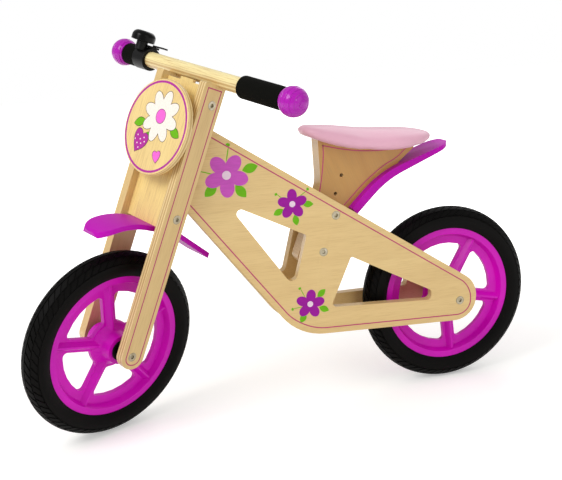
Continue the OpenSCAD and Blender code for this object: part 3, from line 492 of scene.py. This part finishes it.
def addDisc(bm, x, z, wide, long, turn=0, height=0.0, point=0.0, index=0, steps=32):
    made = bmesh.ops.create_circle(bm, cap_ends=True, radius=1, segments=steps)["verts"]
    if point:  # draws both ends out into the tips of a leaf
        for v in made:
            v.co.x *= max(0, 1 - v.co.y * v.co.y) ** point
    bmesh.ops.scale(bm, vec=(wide * mm / 2, long * mm / 2, 1), verts=made)
    setDown(bm, made, x, z, turn, height, index)


def addFlower(name, body, place, spot, size, turn, petal, leaves, buds):
    bm = bmesh.new()
    x, z = spot
    for angle, reach in leaves:
        away = toward(angle) * size * reach
        addDisc(bm, x + away.x, z + away.y, size * flower["leafWide"], size * flower["leafLong"], angle - 90,
                flower["leafUp"], flower["leafPoint"], 1)
    for angle, reach in buds:
        away = toward(angle) * size * reach
        stem = away * flower["stemOut"]
        addDisc(bm, x + stem.x, z + stem.y, size * flower["stemWide"], size * reach * flower["stemLong"],
                angle - 90 + flower["stemLean"], flower["leafUp"], 0, 1)
        addDisc(bm, x + away.x, z + away.y, size * flower["budWide"], size * flower["budLong"], angle,
                flower["leafUp"], 0, 1)
    for i in range(flower["petals"]):
        angle = turn + 360 / flower["petals"] * i
        away = toward(angle) * size * flower["petalOut"]
        addDisc(bm, x + away.x, z + away.y, size * flower["petalWide"], size * flower["petalLong"],
                angle - 90, flower["petalUp"] + flower["petalRise"] * i)
    addDisc(bm, x, z, size * flower["eye"], size * flower["eye"], 0, flower["eyeUp"], 0, 2)
    lift(bm, flower["thick"])
    addPiece(name, bm, [petal, leafInk, paleInk], body, place)


# name, place of the middle, size, turn, ink, then the angle and distance of each leaf and of each bud
flowers = (
    ("violet_flower", (382.8, 396.4), 34.5, 54, violetInk,
     ((-40, 0.98), (-128, 0.98), (168, 1.1)), ((12, 1.25), (96, 1.35))),
    ("upper_flower", (281.5, 341.7), 24, 90, magentaInk,
     ((-25, 1.05), (-100, 1.1), (185, 1.05)), ((35, 1.3), (140, 1.4))),
    ("lower_flower", (259.5, 175.4), 24, 98, magentaInk,
     ((-60, 1.05), (205, 1.05), (140, 1.05)), ((-10, 1.25), (60, 1.35))))
for word, side in sides:
    for name, spot, size, turn, petal, leaves, buds in flowers:
        addFlower(word + "_" + name, "frame", panelPlace(side), spot, size, turn, petal, leaves, buds)
print("printed lines and flowers made")


# plaque print: a ring near the edge, a daisy, a dotted heart, a small heart and leaves
# x shows to the viewer's left
plaque = {"up": 341, "ring": 69.5, "ringWide": 3.4, "ringSteps": 128, "daisy": (-6, 17), "petals": 8,
          "petalLong": 32, "petalWide": 19, "petalOut": 24, "petalTurn": 12, "eye": 21, "leafWide": 13,
          "leafLong": 26, "leafPoint": 0.5, "leaves": ((-62, 44), (-158, 43), (-22, 47)),
          "heart": (25, -27), "heartSize": 33, "heartTurn": 16, "smallHeart": (-22, -41), "smallSize": 17,
          "smallTurn": -14,
          "dots": ((-8, 6), (0, 2), (8, 7), (-4, -4), (5, -5), (0, -11), (-11, 0), (12, 0)), "dotWide": 2.4,
          "dotSteps": 12, "outline": 1.6, "thick": 0.05}
# how high each printed shape stands over the wood, then the number of each ink
printUp = {"ring": 0.02, "leafLine": 0.03, "leaf": 0.06, "petalLine": 0.09, "petal": 0.13,
           "petalRise": 0.003, "eyeLine": 0.17, "eye": 0.2, "heartLine": 0.23, "heart": 0.26, "dot": 0.29}
inks = {"ring": 0, "cream": 1, "pink": 2, "black": 3, "leaf": 4}
heartShape = {"tall": 0.92, "lobes": 0.62, "curve": 0.7, "drop": 0.25, "steps": 48}
plaquePlace = forkPlace @ Matrix.Translation((bike["plaqueFace"] * mm, 0, plaque["up"] * mm))
plaquePlace = plaquePlace @ Matrix(((0, 1, 0), (-1, 0, 0), (0, 0, 1))).to_4x4()


def addHeart(bm, x, z, size, turn, height, index):
    made = bmesh.ops.create_circle(bm, cap_ends=True, radius=1, segments=heartShape["steps"])["verts"]
    for v in made:  # draws the round up into two lobes and down into a point
        lobe = heartShape["lobes"] * abs(v.co.x) ** heartShape["curve"]
        v.co.y = v.co.y * heartShape["tall"] + lobe - heartShape["drop"]
    bmesh.ops.scale(bm, vec=(size * mm / 2,) * 3, verts=made)
    setDown(bm, made, x, z, turn, height, index)


def addRing(bm):
    made = bmesh.ops.create_circle(bm, cap_ends=True, radius=plaque["ring"] * mm,
                                   segments=plaque["ringSteps"])["verts"]
    setDown(bm, made, 0, 0, 0, printUp["ring"], inks["ring"])
    bmesh.ops.inset_region(bm, faces=bm.faces[:], thickness=plaque["ringWide"] * mm, use_boundary=True)
    bmesh.ops.delete(bm, geom=[max(bm.faces, key=lambda f: len(f.verts))], context="FACES")


def addDaisy(bm):
    x, z = plaque["daisy"]
    line = plaque["outline"]
    for angle, reach in plaque["leaves"]:
        away = toward(angle) * reach
        for grow, height, index in ((line, printUp["leafLine"], inks["black"]),
                                    (0, printUp["leaf"], inks["leaf"])):
            addDisc(bm, x + away.x, z + away.y, plaque["leafWide"] + grow, plaque["leafLong"] + grow,
                    angle - 90, height, plaque["leafPoint"], index)
    for grow, height, index in ((line, printUp["petalLine"], inks["black"]),
                                (0, printUp["petal"], inks["cream"])):
        for i in range(plaque["petals"]):
            angle = plaque["petalTurn"] + 360 / plaque["petals"] * i
            away = toward(angle) * plaque["petalOut"]
            addDisc(bm, x + away.x, z + away.y, plaque["petalWide"] + grow, plaque["petalLong"] + grow,
                    angle - 90, height + printUp["petalRise"] * i, 0, index)
    addDisc(bm, x, z, plaque["eye"] + line, plaque["eye"] + line, 0, printUp["eyeLine"], 0, inks["black"])
    addDisc(bm, x, z, plaque["eye"], plaque["eye"], 0, printUp["eye"], 0, inks["pink"])


def addOutlinedHeart(bm, spot, size, turn, index):
    addHeart(bm, *spot, size + plaque["outline"], turn, printUp["heartLine"], inks["black"])
    addHeart(bm, *spot, size, turn, printUp["heart"], index)


def addPlaquePrint():
    bm = bmesh.new()
    addRing(bm)
    addDaisy(bm)
    addOutlinedHeart(bm, plaque["heart"], plaque["heartSize"], plaque["heartTurn"], inks["ring"])
    for dx, dz in plaque["dots"]:
        addDisc(bm, plaque["heart"][0] + dx, plaque["heart"][1] + dz, plaque["dotWide"], plaque["dotWide"], 0,
                printUp["dot"], 0, inks["cream"], plaque["dotSteps"])
    addOutlinedHeart(bm, plaque["smallHeart"], plaque["smallSize"], plaque["smallTurn"], inks["pink"])
    lift(bm, plaque["thick"])
    colors = [ringInk, creamInk, pinkInk, blackInk, leafInk]
    addPiece("plaque_print", bm, colors, "fork", plaquePlace)


addPlaquePrint()
print("plaque print made")


# turned balls on the bar's ends: lathe lines run round them, but not on the tip or the rim, whose angles are
# in radians; a line is cut where the wave over the ball stands above grooveFrom
ball = {"out": 200, "shift": 6, "radius": 21.8, "inner": 186.4, "bore": 12.6, "depth": 195.3, "grooves": 9,
        "grooveDeep": 0.7, "grooveFrom": 0.8, "plainTip": 0.25, "plainRim": 0.1, "steps": 120, "round": 72}


def addBall(name, side):
    bm = bmesh.new()
    profile = []
    start = math.acos((ball["inner"] - ball["out"]) / ball["radius"])
    for i in range(ball["steps"] + 1):
        a = start * i / ball["steps"]
        wave = max(0, math.cos(a * ball["grooves"] * 2) - ball["grooveFrom"]) / (1 - ball["grooveFrom"])
        cut = ball["plainTip"] < a < start - ball["plainRim"]
        reach = ball["radius"] - (wave * ball["grooveDeep"] if cut else 0)
        profile.append((ball["out"] + reach * math.cos(a), reach * math.sin(a)))
    profile += [(ball["inner"], ball["bore"]), (ball["depth"], ball["bore"]), (ball["depth"], 0)]
    ring = [bm.verts.new((r * mm, y * mm * side, 0)) for y, r in profile]
    edges = [bm.edges.new((a, b)) for a, b in zip(ring, ring[1:])]
    bmesh.ops.spin(bm, geom=ring + edges, cent=(0, 0, 0), axis=(0, 1, 0), angle=math.tau, steps=ball["round"],
                   use_merge=True)
    bmesh.ops.translate(bm, vec=(0, ball["shift"] * mm, 0), verts=bm.verts)
    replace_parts(addPiece(name + "_piece", bm, ballLacquer, "fork", barPlace, 50), name)


addBall("left_ball", 1)
addBall("right_ball", -1)
print("balls made")


# tyres: solid foam with slanted blocks that meet in a chevron, and a smooth sidewall
# "across", the bands and the rib are angles round the section, from the middle of the tread
tyre = {"outer": 150, "section": 21.2, "seat": 108, "foot": 114.5, "footHalf": 11.0, "blocks": 66,
        "blockSteps": 4, "blockUp": 1.3, "slant": 0.17, "rib": 6, "innerBand": (10, 36),
        "outerBand": (40, 67), "treadEnd": 69, "slantEnd": 75,
        "across": (0, 6, 10, 23, 36, 40, 54, 67, 71, 90, 110)}


def acrossTread(spot, middle):
    return abs(math.degrees(math.atan2(spot.y / mm, math.hypot(spot.x, spot.z) / mm - middle)))


def onBlock(spot, middle):
    # a rib in the middle, then two bands of blocks on each side, half a block apart
    steps = tyre["blockSteps"]
    step = int(math.degrees(math.atan2(spot.z, spot.x)) % 360 / 360 * tyre["blocks"] * steps)
    across = acrossTread(spot, middle)
    if across < tyre["rib"]:
        return True
    if tyre["innerBand"][0] < across < tyre["innerBand"][1]:
        return step % steps != steps - 1
    if tyre["outerBand"][0] < across < tyre["outerBand"][1]:
        return (step + steps // 2) % steps != steps - 1
    return False


def addTyre(name, body, place):
    bm = bmesh.new()
    middle = tyre["outer"] - tyre["section"]
    inner = math.degrees(math.acos((tyre["foot"] - middle) / tyre["section"]))
    half = list(tyre["across"]) + [inner]
    profile = []
    for across in half[::-1] + [-a for a in half[1:]]:
        radius = tyre["section"] - (tyre["blockUp"] if abs(across) < tyre["treadEnd"] else 0)
        a = math.radians(across)
        profile.append((middle + radius * math.cos(a), radius * math.sin(a)))
    wide = tyre["footHalf"]
    profile = [(tyre["seat"], wide), (tyre["foot"], wide)] + profile
    profile += [(tyre["foot"], -wide), (tyre["seat"], -wide)]
    ring = [bm.verts.new((r * mm, y * mm, 0)) for r, y in profile]
    edges = [bm.edges.new((ring[i], ring[(i + 1) % len(ring)])) for i in range(len(ring))]
    bmesh.ops.spin(bm, geom=ring + edges, cent=(0, 0, 0), axis=(0, 1, 0), angle=math.tau,
                   steps=tyre["blocks"] * tyre["blockSteps"], use_merge=True)
    bmesh.ops.recalc_face_normals(bm, faces=bm.faces)
    raised = [f for f in bm.faces if onBlock(f.calc_center_median(), middle)]
    grown = bmesh.ops.extrude_face_region(bm, geom=raised)
    tops = [g for g in grown["geom"] if isinstance(g, bmesh.types.BMVert)]
    for v in tops:
        axis = Vector((v.co.x, 0, v.co.z)).normalized() * middle * mm
        v.co += (v.co - axis).normalized() * tyre["blockUp"] * mm
    bmesh.ops.delete(bm, geom=raised, context="FACES_ONLY")
    for v in bm.verts:  # leans the blocks back on both sides of the middle
        across = acrossTread(v.co, middle)
        if across < tyre["slantEnd"]:
            v.co = Matrix.Rotation(math.radians(across * tyre["slant"]), 3, "Y") @ v.co
    piece = addPiece(name + "_piece", bm, evaFoam, body, place)
    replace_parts(piece, name)


addTyre("front_tyre", "front_wheel", forkPlace)
addTyre("rear_tyre", "rear_wheel", Matrix.Translation(rearAxle))
print("tyres made")


# saddle pad: foam that swells under its cover
saddle = {"voxel": 3.6, "settle": 5, "skin": 0.8, "wrap": 8, "pressure": 4, "frames": 20, "quality": 5,
          "cap": 4, "even": 12, "smooth": 2, "softness": 0.5, "reach": (1.6, 1.2), "hang": 2.5}


def eased(piece, before, after, cap):
    # moves the skin from before to after, no point further than the cap, and evens the moves out over the
    # skin, so the tight cover shows no creases and no facets
    bm = bmesh.new()
    bm.from_mesh(piece.data)
    bm.verts.ensure_lookup_table()
    moves = []
    for old, new in zip(before, after):
        move = new - old
        moves.append(move * min(1, cap * mm / max(move.length, 1e-9)))
    near = [[e.other_vert(v).index for e in v.link_edges] for v in bm.verts]
    for _ in range(saddle["even"]):
        moves = [(move + sum((moves[k] for k in ring), Vector())) / (1 + len(ring))
                 for move, ring in zip(moves, near)]
    for v, old, move in zip(bm.verts, before, moves):
        v.co = old + move
    bm.to_mesh(piece.data)
    bm.free()


def swell(piece):
    # the cover is blown up by the foam inside it
    before = [v.co.copy() for v in piece.data.vertices]
    cloth = piece.modifiers.new("cover", "CLOTH")
    cloth.settings.use_pressure = True
    cloth.settings.uniform_pressure_force = saddle["pressure"]
    cloth.settings.effector_weights.gravity = 0
    cloth.settings.quality = saddle["quality"]
    scene = bpy.context.scene
    for step in range(1, saddle["frames"] + 1):
        scene.frame_set(step)
    shaped = piece.evaluated_get(bpy.context.evaluated_depsgraph_get()).to_mesh()
    after = [v.co.copy() for v in shaped.vertices]
    piece.modifiers.remove(cloth)
    scene.frame_set(1)
    eased(piece, before, after, saddle["cap"])


def smoothed(piece, rounds):
    bm = bmesh.new()
    bm.from_mesh(piece.data)
    for _ in range(rounds):
        bmesh.ops.smooth_vert(bm, verts=bm.verts, factor=saddle["softness"], use_axis_x=True, use_axis_y=True,
                              use_axis_z=True)
    bm.to_mesh(piece.data)
    bm.free()


def applied(piece, name, kind, **values):
    modifier = piece.modifiers.new(name, kind)
    for key, value in values.items():
        setattr(modifier, key, value)
    bpy.context.view_layer.objects.active = piece
    bpy.ops.object.modifier_apply(modifier=modifier.name)


def fitted(piece, node):
    # smoothing draws the pad in, so it is stretched back over its own length, width and height
    lo, hi = (Vector(c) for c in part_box(node))
    lo -= Vector((saddle["reach"][0], saddle["reach"][1], saddle["hang"])) * mm
    hi += Vector((saddle["reach"][0], saddle["reach"][1], 0)) * mm
    points = [v.co for v in piece.data.vertices]
    for axis in range(3):
        low, high = min(c[axis] for c in points), max(c[axis] for c in points)
        for c in points:
            c[axis] = lo[axis] + (c[axis] - low) / (high - low) * (hi[axis] - lo[axis])


def addSaddle():
    node = frame["nodes"]["seat_pad"]
    piece = bpy.data.objects.new("saddle_pad", node.data.copy())
    bpy.context.scene.collection.objects.link(piece)
    piece.data.materials.clear()
    piece.data.materials.append(leatherette)
    bm = bmesh.new()
    bm.from_mesh(piece.data)
    bmesh.ops.remove_doubles(bm, verts=bm.verts, dist=weld["cad"] * mm)
    bm.to_mesh(piece.data)
    bm.free()
    applied(piece, "even skin", "REMESH", mode="VOXEL", voxel_size=saddle["voxel"] * mm,
            use_smooth_shade=True)
    smoothed(piece, saddle["settle"])
    before = [v.co.copy() for v in piece.data.vertices]
    applied(piece, "back to size", "SHRINKWRAP", target=node, offset=saddle["skin"] * mm,
            wrap_mode="ON_SURFACE")
    eased(piece, before, [v.co.copy() for v in piece.data.vertices], saddle["wrap"])
    swell(piece)
    smoothed(piece, saddle["smooth"])
    fitted(piece, "seat_pad")
    finer = piece.modifiers.new("finer skin", "SUBSURF")
    finer.levels = finer.render_levels = 1
    return piece


saddlePiece = addSaddle()
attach(saddlePiece, "frame")
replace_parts(saddlePiece, "seat_pad")
print("saddle made")


# floor and light: a pale sweep, a broad key from ahead and above, soft fill all round
light = {"aim": (0, 0, 0.3), "sky": 0.62}
# where each lamp hangs and how wide it is, in metres, and its power in watts
lamps = {"key lamp": ((2.2, 1.0, 2.4), 1.6, 42), "fill lamp": ((-1.0, 2.6, 1.4), 2.2, 9),
         "back lamp": ((-1.6, -1.8, 2.0), 1.8, 10)}


def addLamp(name, spot, size, power):
    lamp = bpy.data.lights.new(name, "AREA")
    lamp.shape = "DISK"
    lamp.size = size
    lamp.energy = power
    holder = bpy.data.objects.new(name, lamp)
    aim = (Vector(spot) - Vector(light["aim"])).to_track_quat("Z", "Y").to_matrix().to_4x4()
    holder.matrix_world = Matrix.Translation(spot) @ aim
    bpy.context.scene.collection.objects.link(holder)


for name, (spot, size, power) in lamps.items():
    addLamp(name, spot, size, power)


def paleBackground(tree, lit, output):
    # shows plain white to the camera and through clear pieces, and lights the scene at its own level
    rays = addNode(tree, "ShaderNodeLightPath")
    seen = addNode(tree, "ShaderNodeMath", {"operation": "MAXIMUM"}, {
        0: rays.outputs["Is Camera Ray"], 1: rays.outputs["Is Transmission Ray"]})
    white = addNode(tree, "ShaderNodeBackground", inputs={"Color": (1, 1, 1, 1), "Strength": 1.0})
    mixed = addNode(tree, "ShaderNodeMixShader", inputs={0: seen.outputs[0], 1: lit, 2: white.outputs[0]})
    tree.links.new(mixed.outputs[0], output.inputs["Surface"])


world = bpy.data.worlds.new("studio")
bpy.context.scene.world = world
world.use_nodes = True
sky = world.node_tree.nodes["Background"]
sky.inputs["Color"].default_value = (1, 1, 1, 1)
sky.inputs["Strength"].default_value = light["sky"]
paleBackground(world.node_tree, sky.outputs[0], world.node_tree.nodes["World Output"])


# all in metres, apart from the glow, the roughness and the shine
floorLook = {"half": 6, "drop": 0.0003, "near": 0.5, "far": 1.3, "glow": 0.34, "rough": 0.9, "shine": 0.1}


def addFloor():
    bm = bmesh.new()
    bmesh.ops.create_grid(bm, x_segments=1, y_segments=1, size=floorLook["half"])
    bmesh.ops.translate(bm, vec=(0, 0, -floorLook["drop"]), verts=bm.verts)
    mesh = bpy.data.meshes.new("floor")
    bm.to_mesh(mesh)
    bm.free()
    floor = bpy.data.objects.new("floor", mesh)
    bpy.context.scene.collection.objects.link(floor)
    mat, tree, shader = newMaterial("pale floor", Roughness=floorLook["rough"],
                                    Base_Color=hexColor("#F4F2EF"), Specular_IOR_Level=floorLook["shine"])
    # the glow, which only the camera and glossy reflections see, grows outwards, so the floor runs on into
    # the white background
    rays = addNode(tree, "ShaderNodeLightPath")
    seen = addNode(tree, "ShaderNodeMath", {"operation": "MAXIMUM"}, {
        0: rays.outputs["Is Camera Ray"], 1: rays.outputs["Is Glossy Ray"]})
    away = addNode(tree, "ShaderNodeVectorMath", {"operation": "LENGTH"}, {
        0: addNode(tree, "ShaderNodeTexCoord").outputs["Object"]})
    reach = addNode(tree, "ShaderNodeMapRange", {"interpolation_type": "SMOOTHSTEP"}, {
        "Value": away.outputs["Value"], "From Min": floorLook["near"], "From Max": floorLook["far"],
        "To Min": floorLook["glow"], "To Max": 1.0})
    level = addNode(tree, "ShaderNodeMath", {"operation": "MULTIPLY"}, {
        0: seen.outputs[0], 1: reach.outputs[0]})
    glow = addNode(tree, "ShaderNodeEmission", inputs={"Color": (1, 1, 1, 1), "Strength": level.outputs[0]})
    both = addNode(tree, "ShaderNodeAddShader", inputs={0: shader.outputs[0], 1: glow.outputs[0]})
    tree.links.new(both.outputs[0], tree.nodes["Material Output"].inputs["Surface"])
    mesh.materials.append(mat)


addFloor()
bpy.context.scene.view_settings.view_transform = "Standard"
print("floor and light made")
